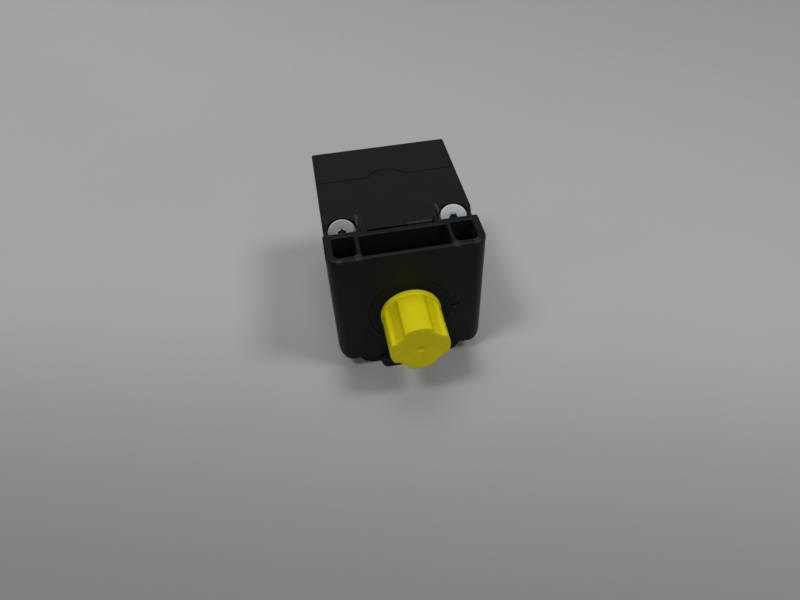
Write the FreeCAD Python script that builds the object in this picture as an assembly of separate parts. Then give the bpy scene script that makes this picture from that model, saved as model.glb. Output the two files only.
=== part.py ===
import FreeCAD, Part
import math
import os

from FreeCAD import Vector

# Cuboid inductive proximity sensor with a plug connector and a screw-on protective cap.
# Millimetres. Origin on the underside, midway between the two screw axes.
# +Z is up, +Y points at the sensing face, -Y at the plug connector.

# Body: housing, sensing head and end plate
body_width = 40.0
body_height = 37.0            # housing and head, measured from the top of the base
housing_length = 24.3         # near face to parting line
head_length = 15.7            # parting line to active face
wall = 2.2                    # sides and top of housing and head
floor_wall = 2.0
near_wall = 2.6               # housing wall behind the end plate
face_wall = 1.5               # active face
edge_round = 0.5              # long outer edges
face_round = 0.8              # edges of the active face
seam_gap = 0.25               # open seam between housing and head
fit_gap = 0.05                # radial or side clearance between fixed pieces
tolerance = 0.01              # for picking edges by their place

# Joint between housing and head
collar_length = 4.0
collar_thickness = 1.0
arch_width = 10.3             # round tab of the housing that reaches over the head
arch_height = 3.05

# Top of the housing, next to the end plate
ledge_width = 17.4            # middle part between the two grooves
ledge_setback = 1.7
ledge_drop = 3.0
groove_width = 1.9            # ramped groove for a tab of the end plate
groove_depth = 1.2            # at the near face, running out to nothing
groove_length = 7.9
ridge_width = 0.6             # low ridge between groove and screw head
ridge_height = 0.4
ridge_start = 1.5             # behind the screw axis
ridge_length = 3.5
ridge_round = 0.25
corner_chamfer = 2.0          # chamfer on the side edges beside the screws
corner_chamfer_reach = 1.2    # how far the full chamfer runs past the screw axis
corner_chamfer_runout = 1.4

# Mounting base
base_thickness = 3.0
base_corner = 3.0
base_front_width = 31.0       # part of the base under the end plate
base_front_setback = 0.5      # behind the face of the end plate
base_front_corner = 5.0
tongue_width = 17.8
tongue_reach = 2.1            # in front of the end plate
tongue_corner = 1.8
tongue_root = 0.6             # inside corners of the outline
base_edge = 0.4               # rounded edges of the base
boss_diameter = 7.2
boss_height = 5.5
fixing_spacing = 30.0         # two screw holes that hold the base on a machine
fixing_offset = 12.0
fixing_hole = 4.5
fixing_head_space = 8.6       # room for the heads of those screws, in the housing's underside
fixing_head_height = 3.4
dome_wall = 1.6

# Screws that hold the housing on the base
screw_edge = 5.0              # screw axis to the side face
screw_setback = 3.9           # screw axis to the near face of the housing
screw_diameter = 5.0
screw_head_diameter = 7.7
screw_head_height = 5.0
screw_head_round = 0.35
screw_socket = 4.0            # across flats
screw_socket_depth = 2.5
screw_sink = 0.15             # head below the top of the housing
screw_recess_gap = 0.2        # round the head
screw_clearance = 0.2
thread_engagement = 4.5
column_half = 5.4             # half width of the solid column round each screw
sleeve_diameter = 6.4
insert_diameter = 6.0
insert_floor = 1.0

# End plate with three open pockets
plate_overhang = 0.35         # past the housing, on each side
plate_depth = 10.3
plate_rise = 1.0              # above the top of the housing
plate_lift = 0.6              # open gap between base and plate
lip_reach = 0.7               # lips that keep the screws captive, past the near face
tab_reach = 2.4               # tabs that lie in the grooves of the housing
tab_sink = 0.6                # tab below the top of the housing
plate_bottom_corner = 4.0
plate_front_round = 3.2
plate_back_round = 0.8
plate_rim_round = 0.5         # outer edge of the top
pocket_rim_round = 0.3
middle_front_wall = 1.1
side_front_wall = 1.6
middle_back_wall = 1.6
side_back_wall = 1.2
pocket_side_wall = 2.1
pocket_floor_wall = 1.4
pocket_corner = 0.7
side_inner_corner = 1.2       # of a side pocket, where its rib meets the front wall
side_pocket_width = 5.75
rib_thickness = 1.1

# Plug connector
connector_height = 17.0       # axis above the top of the base
flange_diameter = 22.5
flange_depth = 4.0
flange_edge = 0.2             # small chamfer round the flange
spigot_diameter = 12.6
spigot_spare = 1.1            # spigot past the nut
key_width = 1.4
key_reach = 2.1
key_sink = 0.35               # key below the face of the end plate
key_depth = 1.2
thread_diameter = 11.9
nose_length = 11.2
nose_bore = 9.4
sleeve_collar = 14.0
sleeve_lip = 1.0              # how deep the collar lies in the insert
sleeve_collar_length = 5.0
socket_depth = 8.6            # nose tip to the face that carries the pins
carrier_diameter = 10.1
carrier_tail = 2.1            # carrier past the nut
pin_diameter = 1.0
pin_circle = 5.0
pin_count = 4
pin_recess = 1.2              # pin tips below the nose tip
pin_chamfer = 0.2
pin_overlap = 3.0             # pin tails along the main board
nut_flats = 15.0
nut_thickness = 3.0
seal_section = 1.5
seal_room = 0.45              # free space round the seal

# Protective cap
cap_seat_gap = 0.2
cap_thread_gap = 0.1
cap_end_wall = 1.6
cap_flange_diameter = 16.3
cap_flange_thickness = 1.6
cap_grip_base = 16.0
cap_grip_end = 15.8
cap_grip_grooves = 4
cap_groove_width = 4.9
cap_groove_depth = 1.0
cap_end_round = 0.4
cap_flange_edge = 0.3
gasket_thickness = 0.85
gasket_gap = 0.08

# Electronics
board_thickness = 1.6
board_side_gap = 0.2
board_near_gap = 0.4
rail_depth = 1.6
rail_height = 1.2
rail_length = 4.0
chip_size = 7.0
chip_height = 1.0
transistor_width = 6.6
transistor_length = 6.1
transistor_height = 2.3
part_offset = 5.5             # chip and transistor from the middle of the board
capacitor_length = 3.2
capacitor_width = 1.6
capacitor_spacing = 5.0
capacitor_count = 3
header_spacing = 2.54
header_count = 4
header_pin = 0.6
header_length = 2.6
led_width = 1.6
led_length = 2.0
led_height = 2.4
led_axis = 1.5                # light axis above the board
guide_diameter = 2.8
guide_flange = 3.8
guide_flange_thickness = 1.0
guide_inner_reach = 1.0       # guide inside its flange, towards the diode

# Coil
core_diameter = 30.0
core_height = 8.6
core_ring = 2.3
core_post = 11.0
core_hole = 5.0
core_floor = 2.6
core_seat_wall = 1.1
core_seat_depth = 2.8
bobbin_wall = 0.6
bobbin_gap = 0.15
coil_board_half = 14.0
coil_board_corner = 3.0

# Places worked out from the sizes above
half_width = body_width / 2
half_plate = half_width + plate_overhang
z_base_top = base_thickness
z_body_top = z_base_top + body_height
z_plate_top = z_body_top + plate_rise
z_plate_bottom = z_base_top + plate_lift
y_near = -screw_setback
y_cavity = y_near + near_wall
y_parting = y_near + housing_length
y_face = y_parting + head_length
y_plate = y_near - plate_depth
cavity_half = half_width - wall
z_cavity_floor = z_base_top + floor_wall
z_cavity_top = z_body_top - wall
screw_x = half_width - screw_edge
z_screw_top = z_body_top - screw_sink
z_seat = z_screw_top - screw_head_height
z_boss_top = z_base_top + boss_height
z_axis = z_base_top + connector_height
y_nose = y_plate - nose_length
y_waist = y_plate + flange_depth
waist_radius = spigot_diameter / 2 + fit_gap + seal_section + seal_room
y_collar = y_plate + sleeve_lip
y_collar_end = y_collar + sleeve_collar_length
y_nut_end = y_cavity + nut_thickness
y_carrier_end = y_nut_end + carrier_tail
y_columns = column_half
y_board = y_columns + board_near_gap
z_board_top = z_axis + board_thickness / 2
z_board_bottom = z_axis - board_thickness / 2
z_coil = z_base_top + body_height / 2
y_core = y_face - face_wall - core_height
y_coil_board = y_core - board_thickness
y_led = (y_columns + y_parting) / 2
z_led = z_board_top + led_axis
y_cap_mouth = y_plate - cap_seat_gap
y_cap_floor = y_nose - gasket_thickness - 2 * gasket_gap
y_cap_end = y_cap_floor - cap_end_wall


def block(x0, x1, y0, y1, z0, z1):
    """Box between two corners."""
    return Part.makeBox(x1 - x0, y1 - y0, z1 - z0, Vector(x0, y0, z0))


def rod_y(radius, y0, y1, x, z):
    """Round bar along Y."""
    return Part.makeCylinder(radius, y1 - y0, Vector(x, y0, z), Vector(0, 1, 0))


def rod_z(radius, z0, z1, x, y):
    """Round bar along Z."""
    return Part.makeCylinder(radius, z1 - z0, Vector(x, y, z0), Vector(0, 0, 1))


def rod_x(radius, x0, x1, y, z):
    """Round bar along X."""
    return Part.makeCylinder(radius, x1 - x0, Vector(x0, y, z), Vector(1, 0, 0))


def mirrored(shape):
    """The same shape on the other side of the middle plane."""
    return shape.mirror(Vector(0, 0, 0), Vector(1, 0, 0))


def pair(shape):
    """Right and left copies of one shape."""
    return [shape, mirrored(shape)]


def fused(shapes):
    """One solid made of several."""
    first = shapes[0]
    return first.fuse(shapes[1:]).removeSplitter()


def plan(x, y):
    """Point of a plan outline."""
    return Vector(x, y, 0)


def elevation(x, z):
    """Point of an outline seen from the front."""
    return Vector(x, 0, z)


def rounded_face(corners, place):
    """Face with round corners: each corner is (first, second, radius) in the plane of place."""
    count = len(corners)
    stops = []
    edges = []
    for i in range(count):
        here = place(*corners[i][:2])
        to_last = (place(*corners[i - 1][:2]) - here).normalize()
        to_next = (place(*corners[(i + 1) % count][:2]) - here).normalize()
        radius = corners[i][2]
        if radius == 0:
            stops.append((here, here))
            continue
        half_angle = to_last.getAngle(to_next) / 2
        reach = radius / math.tan(half_angle)
        inward = (to_last + to_next).normalize()
        middle = here + inward * (radius / math.sin(half_angle) - radius)
        start = here + to_last * reach
        end = here + to_next * reach
        stops.append((start, end))
        edges.append(Part.Arc(start, middle, end).toShape())
    for i in range(count):
        start = stops[i][1]
        end = stops[(i + 1) % count][0]
        edges.append(Part.LineSegment(start, end).toShape())
    return Part.Face(Part.Wire(Part.__sortEdges__(edges)))


def raised(face, z0, z1):
    """Plan face drawn up from z0 to z1."""
    moved = face.translated(Vector(0, 0, z0))
    return moved.extrude(Vector(0, 0, z1 - z0))


def drawn(face, y0, y1):
    """Front face drawn along Y from y0 to y1."""
    moved = face.translated(Vector(0, y0, 0))
    return moved.extrude(Vector(0, y1 - y0, 0))


def rectangle(x0, x1, v0, v1, radius, place):
    """Rectangle with four equal round corners."""
    corners = [(x0, v0, radius), (x1, v0, radius), (x1, v1, radius), (x0, v1, radius)]
    return rounded_face(corners, place)


def turned(outline, z):
    """Solid of revolution about an axis along Y at height z, from (radius, y) points."""
    points = [Vector(radius, y, z) for radius, y in outline]
    face = Part.Face(Part.makePolygon(points + points[:1]))
    return face.revolve(Vector(0, 0, z), Vector(0, 1, 0), 360)


def hexagon(flats, first_corner, place):
    """Hexagon about the origin of a plane, its first corner at an angle in degrees."""
    corner = flats / 2 / math.cos(math.pi / 6)
    points = []
    for i in range(6):
        angle = math.radians(first_corner + 60 * i)
        points.append(place(corner * math.cos(angle), corner * math.sin(angle)))
    return Part.Face(Part.makePolygon(points + points[:1]))


def edges_at_height(shape, z):
    """Edges of a shape that lie flat at height z."""
    low = z - tolerance
    high = z + tolerance
    return [edge for edge in shape.Edges if edge.BoundBox.ZMin > low and edge.BoundBox.ZMax < high]


def arch(grow):
    """Plan face of the round tab at the parting line, larger all round by grow."""
    half = arch_width / 2 + grow
    root = y_parting - collar_length / 2
    left = Vector(-half, y_parting, 0)
    right = Vector(half, y_parting, 0)
    crown = Vector(0, y_parting + arch_height + grow, 0)
    edges = [Part.Arc(left, crown, right).toShape()]
    edges.append(Part.LineSegment(right, Vector(half, root, 0)).toShape())
    edges.append(Part.LineSegment(Vector(half, root, 0), Vector(-half, root, 0)).toShape())
    edges.append(Part.LineSegment(Vector(-half, root, 0), left).toShape())
    return Part.Face(Part.Wire(edges))


def mounting_base():
    """Flat base under the sensor, with a tongue that shows in front of the end plate."""
    half_tongue = tongue_width / 2
    half_front = base_front_width / 2
    y_front = y_plate + base_front_setback
    y_tongue = y_plate - tongue_reach
    right = [
        (half_tongue, y_tongue, tongue_corner),
        (half_tongue, y_front, tongue_root),
        (half_front, y_front, base_front_corner),
        (half_front, y_near, tongue_root),
        (half_width, y_near, base_corner),
        (half_width, y_face, base_corner),
    ]
    left = [(-x, y, radius) for x, y, radius in reversed(right)]
    outline = right + left
    base = raised(rounded_face(outline, plan), 0, z_base_top)
    base = base.makeFillet(base_edge, edges_at_height(base, 0) + edges_at_height(base, z_base_top))
    boss = rod_z(boss_diameter / 2, z_base_top / 2, z_boss_top, screw_x, 0)
    base = fused([base] + pair(boss))
    insert_hole = rod_z(insert_diameter / 2 + fit_gap, insert_floor, z_boss_top, screw_x, 0)
    fixing = rod_z(fixing_hole / 2, 0, z_base_top, fixing_spacing / 2, fixing_offset)
    return base.cut(pair(insert_hole) + pair(fixing))


def threaded_inserts():
    """Brass inserts in the bosses of the base."""
    body = rod_z(insert_diameter / 2, insert_floor, z_boss_top, screw_x, 0)
    hole = rod_z(screw_diameter / 2 + fit_gap, insert_floor, z_boss_top, screw_x, 0)
    return Part.makeCompound(pair(body.cut(hole)))


def mounting_screws():
    """Socket head screws, heads sunk in the corners of the housing."""
    head = rod_z(screw_head_diameter / 2, z_seat, z_screw_top, 0, 0)
    head = head.makeFillet(screw_head_round, edges_at_height(head, z_screw_top))
    shank = rod_z(screw_diameter / 2, z_boss_top - thread_engagement, z_seat, 0, 0)
    socket_floor = z_screw_top - screw_socket_depth
    socket = raised(hexagon(screw_socket, 0, plan), socket_floor, z_screw_top)
    screw = fused([head, shank]).cut(socket)
    return Part.makeCompound(pair(screw.translated(Vector(screw_x, 0, 0))))


def screw_sleeves():
    """Steel sleeves that carry the clamping force through the plastic columns."""
    body = rod_z(sleeve_diameter / 2, z_boss_top, z_seat, screw_x, 0)
    hole = rod_z(screw_diameter / 2 + screw_clearance, z_boss_top, z_seat, screw_x, 0)
    return Part.makeCompound(pair(body.cut(hole)))


def ridge():
    """Low rounded ridge on the top of the housing, beside the right groove."""
    x0 = ledge_width / 2 + groove_width
    y1 = ridge_start + ridge_length
    z_top = z_body_top + ridge_height
    bar = block(x0, x0 + ridge_width, ridge_start, y1, z_cavity_top, z_top)
    return bar.makeFillet(ridge_round, edges_at_height(bar, z_top))


def corner_cut():
    """Chamfer on the right side edge beside the screw, running out behind it."""
    x_in = half_width - corner_chamfer
    z_low = z_body_top - corner_chamfer
    near = [
        Vector(x_in, y_near, z_body_top),
        Vector(half_width, y_near, z_low),
        Vector(half_width, y_near, z_body_top),
    ]
    face = Part.Face(Part.makePolygon(near + near[:1]))
    run = corner_chamfer_reach - y_near
    straight = face.extrude(Vector(0, run, 0))
    end = face.translated(Vector(0, run, 0)).OuterWire
    tip = Part.Vertex(half_width, corner_chamfer_reach + corner_chamfer_runout, z_body_top)
    runout = Part.makeLoft([end, tip], True)
    return straight.fuse(runout)


def sensor_housing():
    """Main shell: screw columns, board rails, connector wall, collar and round tab."""
    outer = rectangle(-half_width, half_width, z_base_top, z_body_top, edge_round, elevation)
    shell = drawn(outer, y_near, y_parting)
    shell = shell.cut(block(-cavity_half, cavity_half, y_cavity, y_parting, z_cavity_floor, z_cavity_top))

    # Solid columns round the screws, domes over the heads of the base's own screws
    column = block(screw_x - column_half, cavity_half, y_cavity, y_columns, z_cavity_floor, z_cavity_top)
    dome_top = z_base_top + fixing_head_height + dome_wall
    dome_radius = fixing_head_space / 2 + dome_wall
    dome = rod_z(dome_radius, z_base_top, dome_top, fixing_spacing / 2, fixing_offset)
    dome = dome.common(block(0, cavity_half, y_cavity, y_parting, z_base_top, dome_top))

    # Rails that the main board slides into
    x_rail = cavity_half - rail_depth
    low = z_board_bottom - fit_gap
    high = z_board_top + fit_gap
    lower_rail = block(x_rail, cavity_half, y_columns, y_parting, low - rail_height, low)
    near_rail = block(x_rail, cavity_half, y_columns, y_columns + rail_length, high, high + rail_height)
    far_rail = block(x_rail, cavity_half, y_parting - rail_length, y_parting, high, high + rail_height)

    # Collar and round tab that reach into the head
    z_collar_low = z_cavity_floor - collar_thickness
    z_collar_top = z_cavity_top + collar_thickness
    reach = cavity_half + collar_thickness
    y_root = y_parting - collar_length
    collar = block(-reach, reach, y_root, y_parting + collar_length, z_collar_low, z_collar_top)
    collar = collar.cut(block(-cavity_half, cavity_half, y_root, y_parting + collar_length,
                              z_cavity_floor, z_cavity_top))
    tab = raised(arch(0), z_cavity_top, z_body_top)
    shell = fused([shell, collar, tab] + pair(ridge()) + pair(column) + pair(dome)
                  + pair(lower_rail) + pair(near_rail) + pair(far_rail))

    # Screw recesses, sleeve and boss holes
    recess_radius = screw_head_diameter / 2 + screw_recess_gap
    recess = rod_z(recess_radius, z_seat, z_body_top, screw_x, 0)
    mouth = block(screw_x - recess_radius, screw_x + recess_radius, y_near, 0, z_seat, z_body_top)
    sleeve_hole = rod_z(sleeve_diameter / 2 + fit_gap, z_boss_top, z_seat, screw_x, 0)
    boss_hole = rod_z(boss_diameter / 2 + fit_gap, z_base_top, z_boss_top, screw_x, 0)
    head_space = rod_z(fixing_head_space / 2, z_base_top, z_base_top + fixing_head_height,
                       fixing_spacing / 2, fixing_offset)

    # Top of the near wall: set-back ledge, grooves beside it, chamfers beside the screws
    half_ledge = ledge_width / 2
    step = block(-half_ledge, half_ledge, y_near, y_near + ledge_setback, z_body_top - ledge_drop, z_body_top)
    slope = [
        Vector(half_ledge, y_near, z_body_top - groove_depth),
        Vector(half_ledge, y_near + groove_length, z_body_top),
        Vector(half_ledge, y_near, z_body_top),
    ]
    groove = Part.Face(Part.makePolygon(slope + slope[:1])).extrude(Vector(groove_width, 0, 0))

    # Way through the near wall for the connector, side holes for the light guides
    spigot_hole = rod_y(spigot_diameter / 2 + fit_gap, y_near, y_cavity, 0, z_axis)
    guide_hole = rod_x(guide_diameter / 2 + fit_gap, cavity_half, half_width, y_led, z_led)

    cuts = [step, spigot_hole]
    for cut in (recess, mouth, sleeve_hole, boss_hole, head_space, groove, corner_cut(), guide_hole):
        cuts += pair(cut)
    return shell.cut(cuts).removeSplitter()


def sensing_head():
    """Closed head with the active face, slipped over the collar of the housing."""
    outer = rectangle(-half_width, half_width, z_base_top, z_body_top, edge_round, elevation)
    head = drawn(outer, y_parting + seam_gap, y_face)
    rim = [edge for edge in head.Edges if edge.BoundBox.YMin > y_face - tolerance]
    head = head.makeFillet(face_round, rim)
    y_inside = y_face - face_wall
    head = head.cut(block(-cavity_half, cavity_half, y_parting, y_inside, z_cavity_floor, z_cavity_top))
    reach = cavity_half + collar_thickness + fit_gap
    low = z_cavity_floor - collar_thickness - fit_gap
    high = z_cavity_top + collar_thickness + fit_gap
    rebate = block(-reach, reach, y_parting, y_parting + collar_length, low, high)
    notch = raised(arch(seam_gap), z_cavity_top, z_body_top)
    head = head.cut([rebate, notch])
    inner = core_diameter / 2 + fit_gap
    seat = turned([
        (inner, y_inside - core_seat_depth),
        (inner + core_seat_wall, y_inside - core_seat_depth),
        (inner + core_seat_wall, y_inside),
        (inner, y_inside),
    ], z_coil)
    return fused([head, seat])


def plate_pocket(x0, x1, front_wall, back_wall, inner_corner, outer_corner):
    """One open pocket in the top of the end plate; the two corners are those at the front."""
    y_front = y_plate + front_wall
    y_back = y_near - back_wall
    corners = [
        (x0, y_front, inner_corner),
        (x1, y_front, outer_corner),
        (x1, y_back, pocket_corner),
        (x0, y_back, pocket_corner),
    ]
    floor = z_axis + flange_diameter / 2 + pocket_floor_wall
    return raised(rounded_face(corners, plan), floor, z_plate_top)


def inside_plate(edge):
    """True for an edge of a pocket, false for one of the plate's own outline."""
    box = edge.BoundBox
    clear = plate_rim_round + fit_gap
    across = box.XMax < half_plate - clear and box.XMin > clear - half_plate
    return across and box.YMin > y_plate + clear and box.YMax < y_near - clear


def end_plate():
    """Thick plate round the connector, with three open pockets in its top edge."""
    front = [
        (-half_plate, z_plate_bottom, plate_bottom_corner),
        (half_plate, z_plate_bottom, plate_bottom_corner),
        (half_plate, z_plate_top, 0),
        (-half_plate, z_plate_top, 0),
    ]
    above = [
        (-half_plate, y_plate, plate_front_round),
        (half_plate, y_plate, plate_front_round),
        (half_plate, y_near, plate_back_round),
        (-half_plate, y_near, plate_back_round),
    ]
    plate = drawn(rounded_face(front, elevation), y_plate, y_near)
    plate = plate.common(raised(rounded_face(above, plan), z_plate_bottom, z_plate_top))

    # Tabs in the grooves of the housing, lips over the screw heads
    x_tab = ledge_width / 2 + fit_gap
    x_tab_end = ledge_width / 2 + groove_width - fit_gap
    y_root = y_near - side_back_wall
    tab = block(x_tab, x_tab_end, y_root, y_near + tab_reach, z_body_top - tab_sink, z_plate_top)
    lip_corners = [
        (x_tab, y_root, 0),
        (half_plate, y_root, 0),
        (half_plate, y_near + lip_reach, plate_back_round),
        (x_tab, y_near + lip_reach, 0),
    ]
    lip = raised(rounded_face(lip_corners, plan), z_body_top + fit_gap, z_plate_top)
    plate = fused([plate] + pair(tab) + pair(lip))
    plate = plate.makeFillet(plate_rim_round, edges_at_height(plate, z_plate_top))

    x_outer = half_plate - pocket_side_wall
    x_rib = x_outer - side_pocket_width
    x_middle = x_rib - rib_thickness
    outer_corner = plate_front_round - side_front_wall
    side_pocket = plate_pocket(x_rib, x_outer, side_front_wall, side_back_wall,
                               side_inner_corner, outer_corner)
    middle_pocket = plate_pocket(-x_middle, x_middle, middle_front_wall, middle_back_wall,
                                 pocket_corner, pocket_corner)
    plate = plate.cut(pair(side_pocket) + [middle_pocket])
    rims = [edge for edge in edges_at_height(plate, z_plate_top) if inside_plate(edge)]
    plate = plate.makeFillet(pocket_rim_round, rims)

    front_bore = rod_y(flange_diameter / 2 + fit_gap, y_plate, y_waist, 0, z_axis)
    rear_bore = rod_y(waist_radius + fit_gap, y_waist, y_near, 0, z_axis)
    key_end = flange_diameter / 2 + key_reach + fit_gap
    half_key = key_width / 2 + fit_gap
    y_key = y_plate + key_sink + key_depth
    key_way = block(0, key_end, y_plate, y_key, z_axis - half_key, z_axis + half_key)
    return plate.cut([front_bore, rear_bore, key_way])


def connector_insert():
    """Stepped plug of the connector, flush with the end plate, keyed against turning."""
    bore = carrier_diameter / 2 + fit_gap
    neck = thread_diameter / 2 + fit_gap
    collar = sleeve_collar / 2 + fit_gap
    flange = flange_diameter / 2
    spigot = spigot_diameter / 2
    body = turned([
        (neck, y_plate),
        (flange - flange_edge, y_plate),
        (flange, y_plate + flange_edge),
        (flange, y_waist),
        (waist_radius, y_waist),
        (waist_radius, y_near - seal_section),
        (spigot, y_near - seal_section),
        (spigot, y_nut_end + spigot_spare),
        (bore, y_nut_end + spigot_spare),
        (bore, y_collar_end),
        (collar, y_collar_end),
        (collar, y_collar),
        (neck, y_collar),
    ], z_axis)
    half_key = key_width / 2
    key_end = flange + key_reach
    y_key = y_plate + key_sink
    key = block(waist_radius, key_end, y_key, y_key + key_depth, z_axis - half_key, z_axis + half_key)
    return fused([body, key])


def thread_sleeve():
    """Metal nose of the connector that carries the outer thread."""
    return turned([
        (nose_bore / 2, y_nose),
        (thread_diameter / 2, y_nose),
        (thread_diameter / 2, y_collar),
        (sleeve_collar / 2, y_collar),
        (sleeve_collar / 2, y_collar_end),
        (nose_bore / 2, y_collar_end),
    ], z_axis)


def pin_places():
    """Centres of the contact pins, on a circle round the connector axis."""
    places = []
    for i in range(pin_count):
        angle = math.radians(45 + 360 * i / pin_count)
        across = pin_circle / 2 * math.cos(angle)
        up = pin_circle / 2 * math.sin(angle)
        places.append((across, z_axis + up))
    return places


def contact_carrier():
    """Plastic core of the connector that holds the pins."""
    front = nose_bore / 2 - fit_gap
    y_front = y_nose + socket_depth
    body = turned([
        (0, y_front),
        (front, y_front),
        (front, y_collar_end),
        (carrier_diameter / 2, y_collar_end),
        (carrier_diameter / 2, y_carrier_end),
        (0, y_carrier_end),
    ], z_axis)
    hole_radius = pin_diameter / 2 + fit_gap
    holes = [rod_y(hole_radius, y_front, y_carrier_end, x, z) for x, z in pin_places()]
    return body.cut(holes)


def contact_pins():
    """Contact pins, tips inside the nose and tails on the main board."""
    y_tip = y_nose + pin_recess
    y_tail = y_board + pin_overlap
    pins = []
    for x, z in pin_places():
        pin = rod_y(pin_diameter / 2, y_tip, y_tail, x, z)
        tip = [edge for edge in pin.Edges if edge.BoundBox.YMax < y_tip + tolerance]
        pins.append(pin.makeChamfer(pin_chamfer, tip))
    return Part.makeCompound(pins)


def connector_nut():
    """Hexagon nut that clamps the connector and the end plate to the housing."""
    outline = hexagon(nut_flats, 90, elevation).translated(Vector(0, 0, z_axis))
    nut = drawn(outline, y_cavity, y_nut_end)
    return nut.cut(rod_y(spigot_diameter / 2 + fit_gap, y_cavity, y_nut_end, 0, z_axis))


def connector_seal():
    """Rubber ring between the connector and the near wall of the housing."""
    section = seal_section / 2
    ring = spigot_diameter / 2 + fit_gap + section
    centre = Vector(0, y_near - section, z_axis)
    return Part.makeTorus(ring, section - fit_gap / 2, centre, Vector(0, 1, 0))


def protective_cap():
    """Screw-on cap: thin flange, tapered grip with flat grooves, blind bore."""
    bore = thread_diameter / 2 + cap_thread_gap
    flange = cap_flange_diameter / 2
    y_flange = y_cap_mouth - cap_flange_thickness
    body = turned([
        (bore, y_cap_mouth),
        (flange, y_cap_mouth),
        (flange, y_flange + cap_flange_edge),
        (flange - cap_flange_edge, y_flange),
        (cap_grip_base / 2, y_flange),
        (cap_grip_end / 2, y_cap_end + cap_end_round),
        (cap_grip_end / 2 - cap_end_round, y_cap_end),
        (0, y_cap_end),
        (0, y_cap_floor),
        (bore, y_cap_floor),
    ], z_axis)
    bottom = cap_grip_base / 2 - cap_groove_depth
    half_groove = cap_groove_width / 2
    axis_point = Vector(0, 0, z_axis)
    grooves = []
    for i in range(cap_grip_grooves):
        turn = 360 / cap_grip_grooves * (i + 0.5)
        groove = block(bottom, flange, y_cap_end, y_flange, z_axis - half_groove, z_axis + half_groove)
        grooves.append(groove.rotate(axis_point, Vector(0, 1, 0), turn))
    return body.cut(grooves)


def cap_gasket():
    """Sealing disc in the floor of the cap."""
    radius = thread_diameter / 2
    return rod_y(radius, y_cap_floor + gasket_gap, y_nose - gasket_gap, 0, z_axis)


def main_board():
    """Circuit board between the connector and the coil."""
    half = cavity_half - board_side_gap
    return block(-half, half, y_board, y_coil_board, z_board_bottom, z_board_top)


def on_board(x, y, width, length, height):
    """Component body standing on the main board."""
    z_top = z_board_top + height
    return block(x - width / 2, x + width / 2, y - length / 2, y + length / 2, z_board_top, z_top)


def controller_chip():
    """Oscillator and switching chip."""
    return on_board(-part_offset, y_led, chip_size, chip_size, chip_height)


def output_transistor():
    """Power transistor of the switching output."""
    return on_board(part_offset, y_led, transistor_width, transistor_length, transistor_height)


def capacitors():
    """Row of chip capacitors behind the chip and the transistor."""
    y = y_led + chip_size / 2 + capacitor_width
    middle = (capacitor_count - 1) / 2
    row = []
    for i in range(capacitor_count):
        x = (i - middle) * capacitor_spacing
        row.append(on_board(x, y, capacitor_length, capacitor_width, capacitor_width))
    return Part.makeCompound(row)


def board_header():
    """Solder pins that join the main board to the coil board."""
    y = y_coil_board - header_length / 2
    middle = (header_count - 1) / 2
    row = []
    for i in range(header_count):
        row.append(on_board((i - middle) * header_spacing, y, header_pin, header_length, header_pin))
    return Part.makeCompound(row)


def coil_board():
    """Small board behind the core that takes the ends of the winding."""
    half = coil_board_half
    face = rectangle(-half, half, z_coil - half, z_coil + half, coil_board_corner, elevation)
    return drawn(face, y_coil_board, y_core)


def light_guides():
    """Clear guides in the side walls, one in front of each light diode."""
    x_flange = cavity_half - guide_flange_thickness
    rod = rod_x(guide_diameter / 2, x_flange - guide_inner_reach, half_width, y_led, z_led)
    flange = rod_x(guide_flange / 2, x_flange, cavity_half, y_led, z_led)
    flange = flange.cut(block(0, half_width, y_board, y_coil_board, z_axis, z_board_top + fit_gap))
    return Part.makeCompound(pair(fused([rod, flange])))


def status_leds():
    """Side-looking light diodes on the main board."""
    x = cavity_half - guide_flange_thickness - guide_inner_reach - board_side_gap - led_width / 2
    return Part.makeCompound(pair(on_board(x, y_led, led_width, led_length, led_height)))


def ferrite_core():
    """Half pot core, open towards the active face."""
    y_open = y_core + core_height
    y_floor = y_core + core_floor
    ring = core_diameter / 2
    return turned([
        (core_hole / 2, y_core),
        (ring, y_core),
        (ring, y_open),
        (ring - core_ring, y_open),
        (ring - core_ring, y_floor),
        (core_post / 2, y_floor),
        (core_post / 2, y_open),
        (core_hole / 2, y_open),
    ], z_coil)


def coil_space():
    """Inner radius, outer radius, near end and far end of the bobbin in the core."""
    inner = core_post / 2 + bobbin_gap
    outer = core_diameter / 2 - core_ring - bobbin_gap
    return inner, outer, y_core + core_floor, y_core + core_height - bobbin_gap


def coil_bobbin():
    """Plastic former of the winding."""
    inner, outer, y0, y1 = coil_space()
    return turned([
        (inner, y0),
        (outer, y0),
        (outer, y0 + bobbin_wall),
        (inner + bobbin_wall, y0 + bobbin_wall),
        (inner + bobbin_wall, y1 - bobbin_wall),
        (outer, y1 - bobbin_wall),
        (outer, y1),
        (inner, y1),
    ], z_coil)


def coil_winding():
    """Copper winding between the flanges of the bobbin."""
    inner, outer, y0, y1 = coil_space()
    return turned([
        (inner + bobbin_wall + fit_gap, y0 + bobbin_wall),
        (outer - bobbin_gap, y0 + bobbin_wall),
        (outer - bobbin_gap, y1 - bobbin_wall),
        (inner + bobbin_wall + fit_gap, y1 - bobbin_wall),
    ], z_coil)


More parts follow.
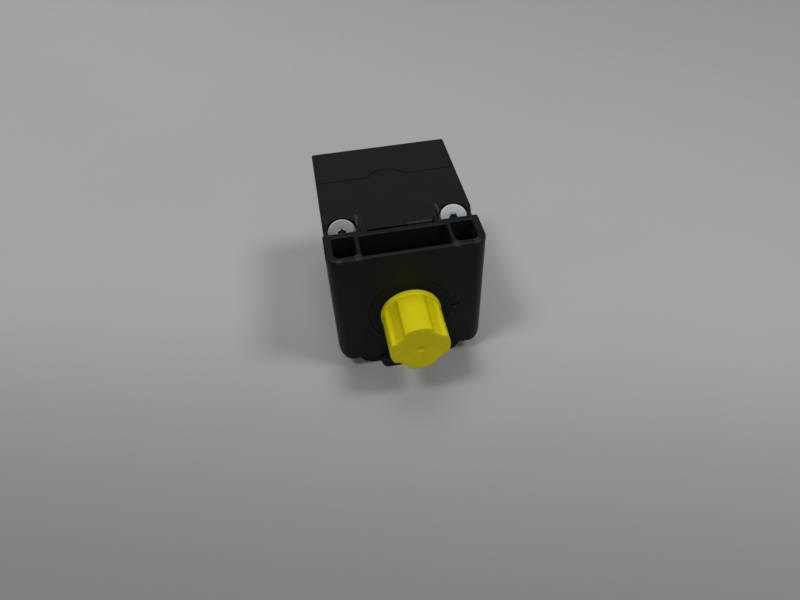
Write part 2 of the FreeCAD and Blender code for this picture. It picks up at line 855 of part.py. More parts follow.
nodes = {
    "mounting_base": mounting_base,
    "threaded_inserts": threaded_inserts,
    "mounting_screws": mounting_screws,
    "screw_sleeves": screw_sleeves,
    "sensor_housing": sensor_housing,
    "sensing_head": sensing_head,
    "end_plate": end_plate,
    "connector_insert": connector_insert,
    "thread_sleeve": thread_sleeve,
    "contact_carrier": contact_carrier,
    "contact_pins": contact_pins,
    "connector_nut": connector_nut,
    "connector_seal": connector_seal,
    "protective_cap": protective_cap,
    "cap_gasket": cap_gasket,
    "main_board": main_board,
    "controller_chip": controller_chip,
    "output_transistor": output_transistor,
    "capacitors": capacitors,
    "board_header": board_header,
    "coil_board": coil_board,
    "status_leds": status_leds,
    "light_guides": light_guides,
    "ferrite_core": ferrite_core,
    "coil_bobbin": coil_bobbin,
    "coil_winding": coil_winding,
}

os.makedirs("parts", exist_ok=True)
for name, make in nodes.items():
    shape = make()
    shape.exportStep("parts/" + name + ".step")
    state = "valid" if shape.isValid() else "NOT VALID"
    print(name, len(shape.Solids), "solid(s)", round(shape.Volume, 1), "mm3", state)
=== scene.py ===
import math

import bmesh
import bpy
from mathutils import Matrix, Vector


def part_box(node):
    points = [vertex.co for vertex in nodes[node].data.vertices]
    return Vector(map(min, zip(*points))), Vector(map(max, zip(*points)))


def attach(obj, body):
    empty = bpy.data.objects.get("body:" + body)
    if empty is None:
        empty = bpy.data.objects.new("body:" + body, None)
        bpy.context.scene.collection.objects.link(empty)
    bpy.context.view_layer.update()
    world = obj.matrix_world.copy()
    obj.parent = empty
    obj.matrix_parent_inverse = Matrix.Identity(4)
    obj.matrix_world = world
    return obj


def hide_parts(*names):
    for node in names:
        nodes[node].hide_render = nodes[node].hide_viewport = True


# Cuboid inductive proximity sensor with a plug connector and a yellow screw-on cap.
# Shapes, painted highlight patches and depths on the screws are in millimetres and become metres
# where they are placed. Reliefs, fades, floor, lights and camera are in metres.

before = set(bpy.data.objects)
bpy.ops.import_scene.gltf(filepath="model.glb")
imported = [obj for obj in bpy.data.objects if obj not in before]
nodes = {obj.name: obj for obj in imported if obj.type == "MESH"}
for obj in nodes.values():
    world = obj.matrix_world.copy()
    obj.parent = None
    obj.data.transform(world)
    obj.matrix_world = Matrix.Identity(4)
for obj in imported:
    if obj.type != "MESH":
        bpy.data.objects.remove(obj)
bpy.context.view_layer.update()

MM = 0.001


def reach(node):
    """Lowest and highest corner of a CAD node, in millimetres."""
    low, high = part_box(node)
    return low / MM, high / MM


# Threads of nose, cap and screws
THREAD_PITCH = 1.0
THREAD_DEPTH = 0.5
THREAD_GAP = 0.1              # between the threads of nose and cap
THREAD_ROWS = 8               # rows of the mesh for one turn
THREAD_ROOT = 0.15            # share of a flank that is flat root
THREAD_FLANK = 0.7            # share that climbs, the rest being flat crest

# Connector axis and cap; heights are measured outwards along the axis, from the screw axes
cap_low, cap_high = reach("protective_cap")
AXIS_HEIGHT = (cap_low.z + cap_high.z) / 2
CAP_MOUTH = -cap_high.y
CAP_END = -cap_low.y
CAP_FLANGE_END = CAP_MOUTH + 1.6
CAP_FLOOR = CAP_END - 1.6
CAP_POINTS = 192
CAP_BORE = 6.05
CAP_LEAD = 0.4                # widening of the bore at the mouth
CAP_THREAD_LOW = 0.5          # first row above the mouth
CAP_THREAD_TOP = 0.9          # last row below the floor
CAP_THREAD_RUN = (0.6, 1.4)   # over this length the thread runs in, at mouth and nose tip
FLANGE_RADIUS = (cap_high.x - cap_low.x) / 2
GRIP_RADIUS = FLANGE_RADIUS - 0.15
GRIP_END_RADIUS = GRIP_RADIUS - 0.1
GRIP_SPANS = 6                # mesh rows along the grip
GROOVES = 4
GROOVE_FLOOR = 7.0            # axis to the flat floor of a groove
GROOVE_HALF = 1.85            # half width of that floor
GROOVE_WALL = 25.0            # climb of a side wall, in millimetres for each radian
GROOVE_SMOOTHING = 2          # rounds of smoothing that soften the edges of the lands
LAND_TURN = 0.055             # the lands stand a little off the upright, in radians

# Rings of the cap: inset from the flange, height above the mouth
FLANGE_NEAR_RINGS = ((0.25, 0.0), (0.07, 0.07), (0.0, 0.25))
# Inset from the flange, distance back from the flange's end
FLANGE_FAR_RINGS = ((0.0, 0.35), (0.08, 0.12), (0.26, 0.0))
# Inset from the grip, depth of the grooves from 0 to 1, height above the flange
GRIP_ROOT_RINGS = ((0.22, 0.75, 0.06), (0.18, 0.93, 0.20), (0.05, 1.0, 0.45), (0.0, 1.0, 0.75))
# Inset from the grip's end, depth of the grooves, distance back from the end
GRIP_END_RINGS = (
    (0.0, 1.0, 0.28), (0.04, 1.0, 0.15), (0.13, 1.0, 0.05), (0.28, 1.0, 0.0), (1.6, 0.8, 0.0),
)
# Gate mark in the middle of the end: radius, distance back from the end
GATE_RINGS = ((5.2, 0.02), (1.35, 0.03), (1.05, 0.05), (0.80, 0.20), (0.45, 0.32), (0, 0.34))

# Threaded nose
nose_low, nose_high = reach("thread_sleeve")
NOSE_TIP = -nose_low.y
NOSE_BORE = 4.7
NOSE_BORE_CHAMFER = (0.3, 0.35)  # across, along
NOSE_POINTS = 96
COLLAR_RADIUS = (nose_high.x - nose_low.x) / 2
COLLAR_END = -nose_high.y
COLLAR_START = COLLAR_END + 5.0
THREAD_RADIUS = 5.95
TIP_RADIUS = THREAD_RADIUS - 0.62
TIP_ROW = 0.1                 # first row of the thread, behind the tip
THREAD_START = COLLAR_START + 2.0
THREAD_RUN = (-0.4, 0.3)      # over this length the thread runs out, from its start
THREAD_LAST_ROW = -0.5        # from the same start

# Screws of the housing, upright, with faces that lean towards the connector
screw_low, screw_high = reach("mounting_screws")
SCREW_HEAD_RADIUS = (screw_high.y - screw_low.y) / 2
SCREW_X = screw_high.x - SCREW_HEAD_RADIUS
SCREW_TOP = screw_high.z
SCREW_END = screw_low.z
SCREW_SEAT = SCREW_TOP - 5.0
SCREW_RADIUS = 2.5
SCREW_POINTS = 192
SCREW_TIP_RINGS = ((0.5, 0.0), (0.36, 0.2))  # inset from the shank, height above the end
SCREW_THREAD_DEPTH = 0.35
SCREW_THREAD_LOW = 0.4        # first row of the thread, above the end
SCREW_THREAD_RUN = (8.5, 9.2)  # heights between which the thread runs out
SCREW_THREAD_TOP = 9.3
SCREW_NECK = 0.2              # fillet under the head
SCREW_SEAT_CHAMFER = 0.25
HEAD_SKIRT = SCREW_SEAT + 0.3  # the head is upright up to here
HEAD_LEAN = math.radians(45)
HEAD_ROUND = 0.4              # rim of the face
HEAD_STEPS = 6
FACE_RADIUS = 3.95
FACE_Y = 0.2
FACE_Z = SCREW_TOP - 2.25
FACE_NORMAL = (0, -math.sin(HEAD_LEAN), math.cos(HEAD_LEAN))
FACE_LEVEL = FACE_NORMAL[1] * FACE_Y + FACE_NORMAL[2] * FACE_Z
SOCKET_FLATS = 2.4
SOCKET_CORNER = SOCKET_FLATS / 2 / math.cos(math.pi / 6)
SOCKET_CHAMFER = (0.25, 0.15)  # across, deep
SOCKET_RING = 0.1             # flat ring of the face beside the chamfer
SOCKET_FLOOR_FLATS = 2.2      # the walls lean in towards the bottom
SOCKET_WALL = 1.3             # depth to which they lean
SOCKET_DEPTH = 2.0
SOCKET_CONE = (0.1, 0.3)      # bottom of the socket: narrower across flats, height
LEFT_SOCKET_TURN = math.radians(30)

# Rounded edges of the moulded pieces
SAME_POINT = 0.002
FLAT_ANGLE = math.radians(0.5)
SHARP_ANGLE = math.radians(35)
SMOOTH_ANGLE = math.radians(38)
EDGE_ROUND = 0.12
EDGE_SEGMENTS = 2

# Seam between housing and head, whose edges stay crisp
SEAM_NEAR = reach("sensing_head")[0].y - 0.35
SEAM_FAR = SEAM_NEAR + 3.5

# Finishes; scales are features per metre
NOISE_LOW, NOISE_HIGH = 0.3, 0.7  # values between which nearly all of a noise lies
BLOTCH_DETAIL = 4.0
GLOSS_DETAIL = 3.0
GRAIN_DETAIL = 2.0
GRAINS_IN_GLOSS = 3           # the gloss changes over so many grains
SPARK_GRAIN = 3500.0          # grain of the black mouldings
SPARK_RELIEF = 0.000006
BLACK_SPREAD = 1.25           # paler tone of a black plastic
# Painted highlights on edges: noise that makes them uneven
HIGHLIGHT_SCALE = 700.0
HIGHLIGHT_DETAIL = 3.0
HIGHLIGHT_RANGE = (0.5, 1.0)
BOX_SOFT = (1.15, 0.8)        # soft side of a painted highlight box, as shares of its half width
RIM_HIGHLIGHT_DEPTHS = (0.10, 0.01)     # below the face of a screw, where the painted highlight on the rim and upper socket walls begins
SOCKET_SHADE_DEPTHS = (1.0, 0.6)    # below the face, where the painted shade in the socket begins

# Stage
FLOOR_HALF = 3.0
WORLD_TINT = (0.97, 0.99, 1.0, 1)
WORLD_LEVEL = 0.08            # what lights the part
WORLD_SHOWN = 0.24            # what is seen and mirrored
LAMPS = (                     # name, place, apparent width in degrees, strength
    ("lamp_left", (-0.36, -0.13, 0.79), 15, 1.28),
    ("lamp_right", (0.46, -0.18, 0.75), 15, 1.22),
    ("lamp_top", (0.0, 0.22, 0.78), 30, 0.72),
    ("lamp_front", (0.0, -0.72, 0.36), 45, 0.80),
)

# Camera, fitted to the photograph
LENS = 27.9856
SENSOR = 36.0
CLIP_START = 0.005
CAMERA_PLACE = (-0.018870, -0.126805, 0.142455)
CAMERA_PITCH = 0.766848
CAMERA_ROLL = 0.048310
CAMERA_YAW = -0.212229


def outward(u, v, height):
    """Point round the connector axis, height measured away from the housing."""
    return Vector((u, -height, AXIS_HEIGHT + v)) * MM


def leaning(x):
    """Places points of a screw: upright up to its skirt, square to the leaning face above it."""
    def place(u, v, height):
        if height <= HEAD_SKIRT:
            return Vector((x + u, v, height)) * MM
        out = height - SCREW_TOP
        y = FACE_Y + v * math.cos(HEAD_LEAN) + out * FACE_NORMAL[1]
        z = FACE_Z + v * math.sin(HEAD_LEAN) + out * FACE_NORMAL[2]
        return Vector((x + u, y, max(z, HEAD_SKIRT))) * MM
    return place


def finished(name, bm, material):
    """Object with smooth faces and one material from a bmesh."""
    bmesh.ops.recalc_face_normals(bm, faces=bm.faces)
    mesh = bpy.data.meshes.new(name)
    bm.to_mesh(mesh)
    bm.free()
    mesh.shade_smooth()
    mesh.set_sharp_from_angle(angle=SMOOTH_ANGLE)
    mesh.materials.append(material)
    piece = bpy.data.objects.new(name, mesh)
    bpy.context.scene.collection.objects.link(piece)
    return piece


def lathe(stations, place, points, ring=False):
    """Skin round an axis. A station is (radius, height).

    A radius is a number or a function of angle and height. A ring closes on its first station.
    """
    bm = bmesh.new()
    rows = []
    for radius, height in stations:
        if radius == 0:
            rows.append([bm.verts.new(place(0, 0, height))] * points)
            continue
        row = []
        for i in range(points):
            angle = 2 * math.pi * i / points
            out = radius(angle, height) if callable(radius) else radius
            row.append(bm.verts.new(place(out * math.cos(angle), out * math.sin(angle), height)))
        rows.append(row)
    if ring:
        rows.append(rows[0])
    for low, high in zip(rows, rows[1:]):
        for i in range(points):
            j = (i + 1) % points
            corners = [low[i], low[j], high[j], high[i]]
            bm.faces.new(list(dict.fromkeys(corners)))
    return bm


def ramp(value, start, end):
    """0 before start, 1 after end, smooth between."""
    share = min(max((value - start) / (end - start), 0), 1)
    return share * share * (3 - 2 * share)


def thread_rise(angle, height):
    """Height of the thread above its root, 0 to 1, on a right-hand helix."""
    turn = (height / THREAD_PITCH - angle / (2 * math.pi)) % 1
    flank = 1 - abs(2 * turn - 1)
    return min(max((flank - THREAD_ROOT) / THREAD_FLANK, 0), 1)


def nose_thread(angle, height):
    """Outer thread of the nose, running out towards the collar."""
    cut = ramp(height, THREAD_START + THREAD_RUN[0], THREAD_START + THREAD_RUN[1])
    root = THREAD_RADIUS - THREAD_DEPTH * cut
    return root + THREAD_DEPTH * cut * thread_rise(angle, height)


def cap_thread(angle, height):
    """Inner thread of the cap, which keeps a gap to the thread of the nose."""
    first, full = CAP_THREAD_RUN
    rise = ramp(height, CAP_MOUTH + first, CAP_MOUTH + full)
    rise *= 1 - ramp(height, NOSE_TIP - full, NOSE_TIP - first)
    inner = THREAD_RADIUS - THREAD_DEPTH + THREAD_GAP
    return CAP_BORE - (CAP_BORE - inner) * rise * (1 - thread_rise(angle, height))


def thread_heights(start, end):
    """Mesh rows along a thread."""
    count = round(abs(end - start) / THREAD_PITCH * THREAD_ROWS)
    return [start + (end - start) * i / count for i in range(count + 1)]


def groove_insets():
    """How far the grip's outline lies inside its land circle, for each point of a ring."""
    insets = []
    floor_end = math.atan2(GROOVE_HALF, GROOVE_FLOOR)
    step = 2 * math.pi / GROOVES
    for i in range(CAP_POINTS):
        angle = 2 * math.pi * i / CAP_POINTS
        off = abs(((angle - LAND_TURN) % step) - step / 2)
        if off < floor_end:
            insets.append(GRIP_RADIUS - GROOVE_FLOOR / math.cos(off))
            continue
        wall = GROOVE_FLOOR / math.cos(floor_end) + (off - floor_end) * GROOVE_WALL
        insets.append(max(GRIP_RADIUS - wall, 0))
    for _ in range(GROOVE_SMOOTHING):
        insets = [
            (insets[i - 1] + 2 * insets[i] + insets[(i + 1) % CAP_POINTS]) / 4
            for i in range(CAP_POINTS)
        ]
    return insets


INSETS = groove_insets()


def grip(land, share):
    """Outline of the grip on a land circle; share says how deep the grooves are there."""
    def radius(angle, height):
        i = round(angle / (2 * math.pi) * CAP_POINTS) % CAP_POINTS
        return land - share * INSETS[i]
    return radius


def noise(tree, scale, detail):
    """Noise in object space."""
    place = tree.nodes.new("ShaderNodeTexCoord")
    texture = tree.nodes.new("ShaderNodeTexNoise")
    texture.inputs["Scale"].default_value = scale
    texture.inputs["Detail"].default_value = detail
    tree.links.new(place.outputs["Object"], texture.inputs["Vector"])
    return texture.outputs["Fac"]


def ranged(tree, value, low, high):
    """Value of a noise spread over low to high."""
    spread = tree.nodes.new("ShaderNodeMapRange")
    spread.inputs["From Min"].default_value = NOISE_LOW
    spread.inputs["From Max"].default_value = NOISE_HIGH
    spread.inputs["To Min"].default_value = low
    spread.inputs["To Max"].default_value = high
    tree.links.new(value, spread.inputs["Value"])
    return spread.outputs["Result"]


def soft_step(tree, value, low, high):
    """0 at low and 1 at high, smooth between."""
    step = tree.nodes.new("ShaderNodeMapRange")
    step.interpolation_type = "SMOOTHSTEP"
    step.inputs["From Min"].default_value = low
    step.inputs["From Max"].default_value = high
    tree.links.new(value, step.inputs["Value"])
    return step.outputs["Result"]


def math_node(tree, operation, *values):
    """Result of a math node on the outputs of other nodes."""
    node = tree.nodes.new("ShaderNodeMath")
    node.operation = operation
    for i, value in enumerate(values):
        tree.links.new(value, node.inputs[i])
    return node.outputs["Value"]


def vector_node(tree, operation, value, vector, result="Vector"):
    """Result of a vector math node on the output of another node and a fixed vector."""
    node = tree.nodes.new("ShaderNodeVectorMath")
    node.operation = operation
    node.inputs[1].default_value = vector
    tree.links.new(value, node.inputs[0])
    return node.outputs[result]


def tinted(tree, value, first, second):
    """Colour between two, each of them a tone or the output of a node."""
    blend = tree.nodes.new("ShaderNodeMix")
    blend.data_type = "RGBA"
    for side, colour in (("A", first), ("B", second)):
        if isinstance(colour, tuple):
            blend.inputs[side].default_value = (*colour, 1)
        else:
            tree.links.new(colour, blend.inputs[side])
    tree.links.new(value, blend.inputs["Factor"])
    return blend.outputs["Result"]


def bumped(tree, shader, value, height):
    """Fine relief, height in metres."""
    bump = tree.nodes.new("ShaderNodeBump")
    bump.inputs["Strength"].default_value = 1.0
    bump.inputs["Distance"].default_value = height
    tree.links.new(value, bump.inputs["Height"])
    tree.links.new(bump.outputs["Normal"], shader.inputs["Normal"])


def surface(name, tones, rough, grain, relief, metallic=0.0, specular=0.5, blotch=180.0):
    """General finish: two tones in soft blotches, uneven gloss and a fine grain.

    Blotch and grain are scales, rough is the range of the roughness, relief the grain's height.
    """
    material = bpy.data.materials.new(name)
    material.use_nodes = True
    tree = material.node_tree
    shader = tree.nodes["Principled BSDF"]
    patches = ranged(tree, noise(tree, blotch, BLOTCH_DETAIL), 0, 1)
    tree.links.new(tinted(tree, patches, *tones), shader.inputs["Base Color"])
    gloss = noise(tree, grain / GRAINS_IN_GLOSS, GLOSS_DETAIL)
    tree.links.new(ranged(tree, gloss, *rough), shader.inputs["Roughness"])
    bumped(tree, shader, noise(tree, grain, GRAIN_DETAIL), relief)
    shader.inputs["Metallic"].default_value = metallic
    shader.inputs["Specular IOR Level"].default_value = specular
    return material


def black(name, tone, rough, specular):
    """Black moulded plastic with a spark-eroded grain."""
    paler = tuple(BLACK_SPREAD * c for c in tone)
    return surface(name, (tone, paler), rough, SPARK_GRAIN, SPARK_RELIEF, specular=specular)


def base_colour(material):
    """Tree of a finish, its colour input and what feeds that."""
    tree = material.node_tree
    colour = tree.nodes["Principled BSDF"].inputs["Base Color"]
    return tree, colour, colour.links[0].from_socket


def in_box(tree, share, low, high):
    """The share inside a box with soft sides, and 0 outside it."""
    middle = (Vector(low) + Vector(high)) / 2 * MM
    half = (Vector(high) - Vector(low)) / 2 * MM
    place = tree.nodes.new("ShaderNodeTexCoord").outputs["Object"]
    axes = tree.nodes.new("ShaderNodeSeparateXYZ")
    off = vector_node(tree, "DIVIDE", vector_node(tree, "SUBTRACT", place, middle), half)
    tree.links.new(off, axes.inputs["Vector"])
    for axis in "XYZ":
        inside = soft_step(tree, math_node(tree, "ABSOLUTE", axes.outputs[axis]), *BOX_SOFT)
        share = math_node(tree, "MULTIPLY", share, inside)
    return share


def painted_highlights(material, tone, patches):
    """Paints highlights: boxes of a finish go to a paler tone, unevenly. A patch is two corners,
    in millimetres.
    """
    highlight_share = ranged(material.node_tree, noise(material.node_tree, HIGHLIGHT_SCALE, HIGHLIGHT_DETAIL), *HIGHLIGHT_RANGE)
    for low, high in patches:
        tree, colour, own = base_colour(material)
        tree.links.new(tinted(tree, in_box(tree, highlight_share, low, high), own, tone), colour)


def faded(material, along, low, high, tone):
    """Lets a finish run into another tone, from high down to low along a direction, in metres."""
    tree, colour, own = base_colour(material)
    place = tree.nodes.new("ShaderNodeTexCoord").outputs["Object"]
    height = vector_node(tree, "DOT_PRODUCT", place, along, "Value")
    tree.links.new(tinted(tree, soft_step(tree, height, low, high), tone, own), colour)


def table_finish():
    """Pale grey laminate, with painted shade that darkens it softly towards the viewer and far
    behind to the right.
    """
    material = surface("table_top", ((0.322, 0.324, 0.321), (0.334, 0.336, 0.333)), (0.55, 0.70),
                       900.0, 0.00002, specular=0.2, blotch=14.0)
    # Painted shade: darker towards the viewer
    faded(material, (0.27, 0.96, 0), -0.10, 0.02, (0.179, 0.180, 0.179))
    # Painted shade: darker far behind to the right
    faded(material, (-0.7, -0.7, 0), -0.33, -0.05, (0.262, 0.264, 0.262))
    return material


def screw_finish():
    """Zinc plated steel; painted shade darkens the left screw, painted highlights brighten the
    rim, the socket chamfer and the upper socket walls, and painted shade darkens the socket deep
    down.
    """
    material = surface("screw_zinc_plate", ((0.285, 0.297, 0.307), (0.335, 0.348, 0.357)),
                       (0.48, 0.62), 2400.0, 0.000006, metallic=1.0, blotch=900.0)
    # Painted shade: the left screw darker, for its dimmer reflection
    faded(material, (1, 0, 0), -0.022, 0.024, (0.162, 0.168, 0.177))
    for (deep, shallow), tone in (
        # Painted highlight on the rim, the socket chamfer and the upper socket walls
        (RIM_HIGHLIGHT_DEPTHS, (0.52, 0.535, 0.545)),
        # Painted shade deep in the socket
        (SOCKET_SHADE_DEPTHS, (0.045, 0.058, 0.072)),
    ):
        low, high = (FACE_LEVEL - deep) * MM, (FACE_LEVEL - shallow) * MM
        faded(material, FACE_NORMAL, low, high, tone)
    return material


finishes = {
    "housing_black": black("housing_plastic", (0.0040, 0.0046, 0.0045), (0.38, 0.50), 0.14),
    "plate_black": black("plate_plastic", (0.0050, 0.0058, 0.0051), (0.34, 0.46), 0.11),
    "base_black": black("base_plastic", (0.0040, 0.0044, 0.0042), (0.45, 0.60), 0.13),
    "connector_black": black("connector_plastic", (0.0038, 0.0044, 0.0039), (0.36, 0.48), 0.11),
    "carrier_black": black("carrier_plastic", (0.010, 0.010, 0.010), (0.40, 0.55), 0.3),
    "cap_yellow": surface(
        "cap_plastic", ((0.478, 0.419, 0.0017), (0.516, 0.452, 0.0023)), (0.38, 0.52),
        2600.0, 0.000008, specular=0.12, blotch=260.0),
    "screw_zinc": screw_finish(),
    "sleeve_steel": surface(
        "sleeve_steel", ((0.42, 0.42, 0.43), (0.52, 0.52, 0.53)), (0.30, 0.45),
        1800.0, 0.000004, metallic=1.0),
    "insert_brass": surface(
        "insert_brass", ((0.60, 0.42, 0.16), (0.68, 0.49, 0.20)), (0.25, 0.40),
        1800.0, 0.000004, metallic=1.0),
    "nose_nickel": surface(
        "nose_nickel", ((0.54, 0.52, 0.47), (0.64, 0.62, 0.57)), (0.18, 0.32),
        1600.0, 0.000003, metallic=1.0, blotch=420.0),
    "pin_gold": surface(
        "pin_gold", ((0.80, 0.56, 0.20), (0.88, 0.64, 0.26)), (0.16, 0.26),
        1600.0, 0.000002, metallic=1.0),
    "seal_rubber": surface(
        "seal_rubber", ((0.010, 0.010, 0.010), (0.016, 0.016, 0.016)), (0.60, 0.80),
        2200.0, 0.000008, specular=0.3),
    "gasket_rubber": surface(
        "gasket_rubber", ((0.014, 0.014, 0.014), (0.022, 0.022, 0.022)), (0.60, 0.80),
        2200.0, 0.000008, specular=0.3),
    "board_green": surface(
        "board_laminate", ((0.010, 0.085, 0.028), (0.016, 0.120, 0.040)), (0.30, 0.45),
        1500.0, 0.000010, blotch=700.0),
    "chip_black": surface(
        "chip_plastic", ((0.014, 0.014, 0.015), (0.020, 0.020, 0.021)), (0.55, 0.70),
        5000.0, 0.000006),
    "capacitor_tan": surface(
        "capacitor_ceramic", ((0.36, 0.22, 0.12), (0.42, 0.27, 0.15)), (0.35, 0.50),
        3000.0, 0.000004),
    "ferrite_grey": surface(
        "ferrite", ((0.045, 0.045, 0.048), (0.070, 0.070, 0.073)), (0.50, 0.70),
        3200.0, 0.000012),
    "bobbin_natural": surface(
        "bobbin_plastic", ((0.58, 0.54, 0.44), (0.64, 0.60, 0.50)), (0.40, 0.55),
        2600.0, 0.000005),
    "copper_wire": surface(
        "enamelled_wire", ((0.50, 0.20, 0.08), (0.64, 0.28, 0.12)), (0.25, 0.38),
        2600.0, 0.000020, metallic=1.0),
    "led_clear": surface(
        "diode_resin", ((0.62, 0.58, 0.42), (0.70, 0.66, 0.50)), (0.12, 0.22),
        1500.0, 0.000003),
    "guide_clear": surface(
        "guide_resin", ((0.46, 0.44, 0.36), (0.54, 0.52, 0.44)), (0.10, 0.22),
        1500.0, 0.000004),
}

# Painted highlights on the ridges beside the screws
painted_highlights(finishes["housing_black"], (0.036, 0.037, 0.037), (
    ((10.4, 0.1, 39.8), (11.3, 4.3, 40.6)),
    ((-11.2, 0.0, 39.8), (-10.3, 4.1, 40.6)),
))
# Painted highlight along the edge of the ledge
painted_highlights(finishes["housing_black"], (0.030, 0.031, 0.031), (
    ((1.8, -2.35, 39.5), (9.3, -1.6, 40.2)),
))
# Painted highlights on the rim of the end plate, where the ribs meet the front wall and at the
# corners
painted_highlights(finishes["plate_black"], (0.022, 0.023, 0.022), (
    ((-13.2, -14.6, 40.2), (-11.5, -12.4, 41.2)),
    ((11.4, -15.0, 40.2), (13.2, -12.4, 41.2)),
    ((-17.8, -14.5, 40.2), (-16.4, -13.4, 41.2)),
    ((17.0, -14.9, 40.2), (18.2, -12.3, 41.2)),
))

node_slots = {
    "mounting_base": "base_black",
    "threaded_inserts": "insert_brass",
    "mounting_screws": "screw_zinc",
    "screw_sleeves": "sleeve_steel",
    "sensor_housing": "housing_black",
    "sensing_head": "housing_black",
    "end_plate": "plate_black",
    "connector_insert": "connector_black",
    "thread_sleeve": "nose_nickel",
    "contact_carrier": "carrier_black",
    "contact_pins": "pin_gold",
    "connector_nut": "nose_nickel",
    "connector_seal": "seal_rubber",
    "protective_cap": "cap_yellow",
    "cap_gasket": "gasket_rubber",
    "main_board": "board_green",
    "controller_chip": "chip_black",
    "output_transistor": "chip_black",
    "capacitors": "capacitor_tan",
    "board_header": "pin_gold",
    "coil_board": "board_green",
    "status_leds": "led_clear",
    "light_guides": "guide_clear",
    "ferrite_core": "ferrite_grey",
    "coil_bobbin": "bobbin_natural",
    "coil_winding": "copper_wire",
}

for name, slot in node_slots.items():
    for holder in nodes[name].material_slots:
        holder.material = finishes[slot]


def make_cap():
    """Protective cap: inner thread, thin flange, grip with flat grooves, gate mark in the end."""
    stations = [(0, CAP_FLOOR), (CAP_BORE, CAP_FLOOR)]
    for height in thread_heights(CAP_FLOOR - CAP_THREAD_TOP, CAP_MOUTH + CAP_THREAD_LOW):
        stations.append((cap_thread, height))
    stations.append((CAP_BORE + CAP_LEAD, CAP_MOUTH))
    for inset, up in FLANGE_NEAR_RINGS:
        stations.append((FLANGE_RADIUS - inset, CAP_MOUTH + up))
    for inset, back in FLANGE_FAR_RINGS:
        stations.append((FLANGE_RADIUS - inset, CAP_FLANGE_END - back))
    for inset, share, up in GRIP_ROOT_RINGS:
        stations.append((grip(GRIP_RADIUS - inset, share), CAP_FLANGE_END + up))
    start = CAP_FLANGE_END + GRIP_ROOT_RINGS[-1][2]
    end = CAP_END - GRIP_END_RINGS[0][2]
    for i in range(1, GRIP_SPANS):
        share = i / GRIP_SPANS
        land = GRIP_RADIUS + (GRIP_END_RADIUS - GRIP_RADIUS) * share
        stations.append((grip(land, 1.0), start + (end - start) * share))
    for inset, share, back in GRIP_END_RINGS:
        stations.append((grip(GRIP_END_RADIUS - inset, share), CAP_END - back))
    for radius, back in GATE_RINGS:
        stations.append((radius, CAP_END - back))
    bm = lathe(stations, outward, CAP_POINTS)
    cap = finished("cap_shell", bm, finishes["cap_yellow"])
    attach(cap, "cap")
    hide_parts("protective_cap")


def make_nose():
    """Threaded nose with a chamfered tip, a plain neck behind the thread and the hidden collar."""
    def tip(angle, height):
        return min(nose_thread(angle, height), TIP_RADIUS + (NOSE_TIP - height))
    across, along = NOSE_BORE_CHAMFER
    stations = [
        (NOSE_BORE, COLLAR_END),
        (NOSE_BORE, NOSE_TIP - along),
        (NOSE_BORE + across, NOSE_TIP),
        (TIP_RADIUS, NOSE_TIP),
    ]
    for height in thread_heights(NOSE_TIP - TIP_ROW, THREAD_START + THREAD_LAST_ROW):
        stations.append((tip, height))
    stations += [
        (THREAD_RADIUS, COLLAR_START),
        (COLLAR_RADIUS, COLLAR_START),
        (COLLAR_RADIUS, COLLAR_END),
    ]
    bm = lathe(stations, outward, NOSE_POINTS, ring=True)
    nose = finished("nose_thread", bm, finishes["nose_nickel"])
    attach(nose, "sensor")
    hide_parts("thread_sleeve")


def socket(flats, turn):
    """Hexagon across flats, a corner at the angle of turn."""
    def hexagon(angle, height):
        sector = math.pi / 3
        off = ((angle - turn) % sector) - sector / 2
        return flats / 2 / math.cos(off)
    return hexagon


def shank(angle, height):
    """Shank of a screw, threaded at its end."""
    cut = 1 - ramp(height, *SCREW_THREAD_RUN)
    return SCREW_RADIUS - SCREW_THREAD_DEPTH * cut * (1 - thread_rise(angle, height))


def make_screw(name, x, turn):
    """Socket head screw: threaded end, leaning face with a rounded rim, chamfered hexagon."""
    stations = [(0, SCREW_END)]
    for inset, up in SCREW_TIP_RINGS:
        stations.append((SCREW_RADIUS - inset, SCREW_END + up))
    for height in thread_heights(SCREW_END + SCREW_THREAD_LOW, SCREW_THREAD_TOP):
        stations.append((shank, height))
    stations += [
        (SCREW_RADIUS, SCREW_SEAT - SCREW_NECK),
        (SCREW_RADIUS + SCREW_NECK, SCREW_SEAT),
        (SCREW_HEAD_RADIUS - SCREW_SEAT_CHAMFER, SCREW_SEAT),
        (SCREW_HEAD_RADIUS, HEAD_SKIRT),
    ]
    for i in range(HEAD_STEPS + 1):
        rise = math.pi / 2 * i / HEAD_STEPS
        radius = FACE_RADIUS - HEAD_ROUND * (1 - math.cos(rise))
        stations.append((radius, SCREW_TOP - HEAD_ROUND * (1 - math.sin(rise))))
    across, deep = SOCKET_CHAMFER
    narrower, cone = SOCKET_CONE
    stations += [
        (SOCKET_CORNER + across + SOCKET_RING, SCREW_TOP),
        (SOCKET_CORNER + across, SCREW_TOP),
        (socket(SOCKET_FLATS, turn), SCREW_TOP - deep),
        (socket(SOCKET_FLOOR_FLATS, turn), SCREW_TOP - SOCKET_WALL),
        (socket(SOCKET_FLOOR_FLATS - narrower, turn), SCREW_TOP - SOCKET_DEPTH + cone),
        (0, SCREW_TOP - SOCKET_DEPTH),
    ]
    bm = lathe(stations, leaning(x), SCREW_POINTS)
    screw = finished(name, bm, finishes["screw_zinc"])
    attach(screw, "sensor")
    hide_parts("mounting_screws")


def to_round(edge):
    """Says if an edge is sharp and lies away from the seam between housing and head."""
    in_seam = all(SEAM_NEAR < vert.co.y / MM < SEAM_FAR for vert in edge.verts)
    return edge.calc_face_angle(0) > SHARP_ANGLE and not in_seam


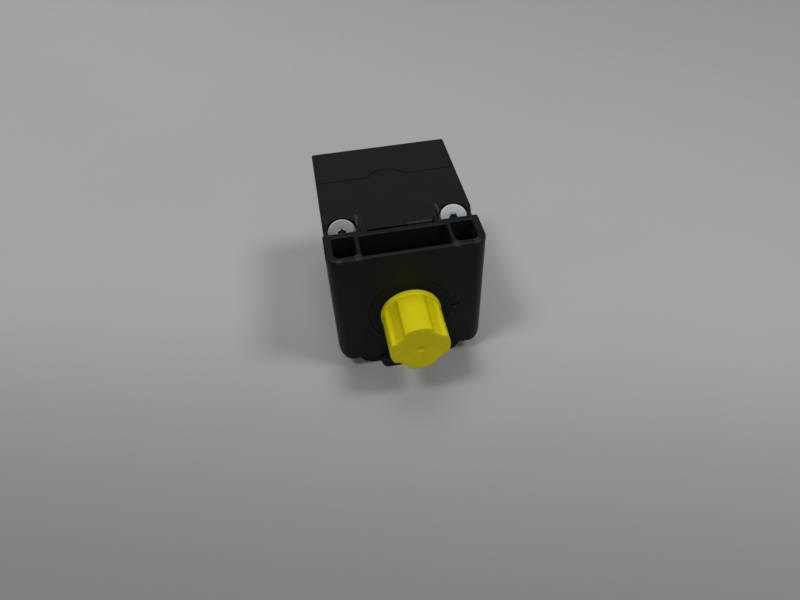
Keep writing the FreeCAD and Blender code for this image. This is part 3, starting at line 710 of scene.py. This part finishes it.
def make_shell(name, node):
    """Copy of a CAD node with its sharp moulded edges rounded; it stands for the node."""
    bm = bmesh.new()
    bm.from_mesh(nodes[node].data)
    bmesh.ops.remove_doubles(bm, verts=bm.verts, dist=SAME_POINT * MM)
    bmesh.ops.dissolve_limit(bm, angle_limit=FLAT_ANGLE, verts=bm.verts, edges=bm.edges)
    sharp = [edge for edge in bm.edges if to_round(edge)]
    bmesh.ops.bevel(bm, geom=sharp, offset=EDGE_ROUND * MM, offset_type="OFFSET",
                    segments=EDGE_SEGMENTS, profile=0.5, affect="EDGES", clamp_overlap=False)
    low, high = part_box(node)
    for vert in bm.verts:
        for i in range(3):
            vert.co[i] = min(max(vert.co[i], low[i]), high[i])
    slot = node_slots[node]
    shell = finished(name, bm, finishes[slot])
    shell.modifiers.new("flat_faces", "WEIGHTED_NORMAL").keep_sharp = True
    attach(shell, "sensor")
    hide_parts(node)


def make_floor():
    """Pale grey table top."""
    half = FLOOR_HALF
    corners = [(-half, -half, 0), (half, -half, 0), (half, half, 0), (-half, half, 0)]
    mesh = bpy.data.meshes.new("floor")
    mesh.from_pydata(corners, [], [(0, 1, 2, 3)])
    floor = bpy.data.objects.new("floor", mesh)
    bpy.context.scene.collection.objects.link(floor)
    mesh.materials.append(table_finish())


def soft_light(name, place, width, strength):
    """Broad even light from the direction of a place; width is its apparent size in degrees."""
    data = bpy.data.lights.new(name, "SUN")
    data.angle = math.radians(width)
    data.energy = strength
    lamp = bpy.data.objects.new(name, data)
    lamp.location = place
    lamp.rotation_euler = (-Vector(place)).to_track_quat("-Z", "Y").to_euler()
    bpy.context.scene.collection.objects.link(lamp)


def make_world(level, shown):
    """Even soft light from all round, and the paler wall that is seen and mirrored."""
    world = bpy.data.worlds.new("studio")
    world.use_nodes = True
    tree = world.node_tree
    background = tree.nodes["Background"]
    background.inputs["Color"].default_value = WORLD_TINT
    rays = tree.nodes.new("ShaderNodeLightPath")
    seen = rays.outputs["Is Camera Ray"]
    for kind in ("Is Glossy Ray", "Is Transmission Ray"):
        seen = math_node(tree, "MAXIMUM", seen, rays.outputs[kind])
    strength = tree.nodes.new("ShaderNodeMapRange")
    strength.inputs["To Min"].default_value = level
    strength.inputs["To Max"].default_value = shown
    tree.links.new(seen, strength.inputs["Value"])
    tree.links.new(strength.outputs["Result"], background.inputs["Strength"])
    bpy.context.scene.world = world


def make_camera():
    """Camera at the photograph's place, for an image of 800 by 600."""
    data = bpy.data.cameras.new("camera")
    data.sensor_fit = "HORIZONTAL"
    data.sensor_width = SENSOR
    data.lens = LENS
    data.clip_start = CLIP_START
    camera = bpy.data.objects.new("camera", data)
    turn = Matrix.Rotation(CAMERA_YAW, 4, "Z")
    turn = turn @ Matrix.Rotation(CAMERA_PITCH, 4, "X") @ Matrix.Rotation(CAMERA_ROLL, 4, "Y")
    camera.matrix_world = Matrix.Translation(CAMERA_PLACE) @ turn
    bpy.context.scene.collection.objects.link(camera)
    bpy.context.scene.camera = camera


make_shell("housing_shell", "sensor_housing")
make_shell("head_shell", "sensing_head")
make_shell("plate_shell", "end_plate")
make_shell("insert_shell", "connector_insert")
make_shell("base_shell", "mounting_base")
make_cap()
make_nose()
make_screw("screw_right", SCREW_X, 0.0)
make_screw("screw_left", -SCREW_X, LEFT_SOCKET_TURN)
make_floor()
for lamp in LAMPS:
    soft_light(*lamp)
make_world(WORLD_LEVEL, WORLD_SHOWN)
make_camera()
bpy.context.scene.view_settings.view_transform = "Standard"
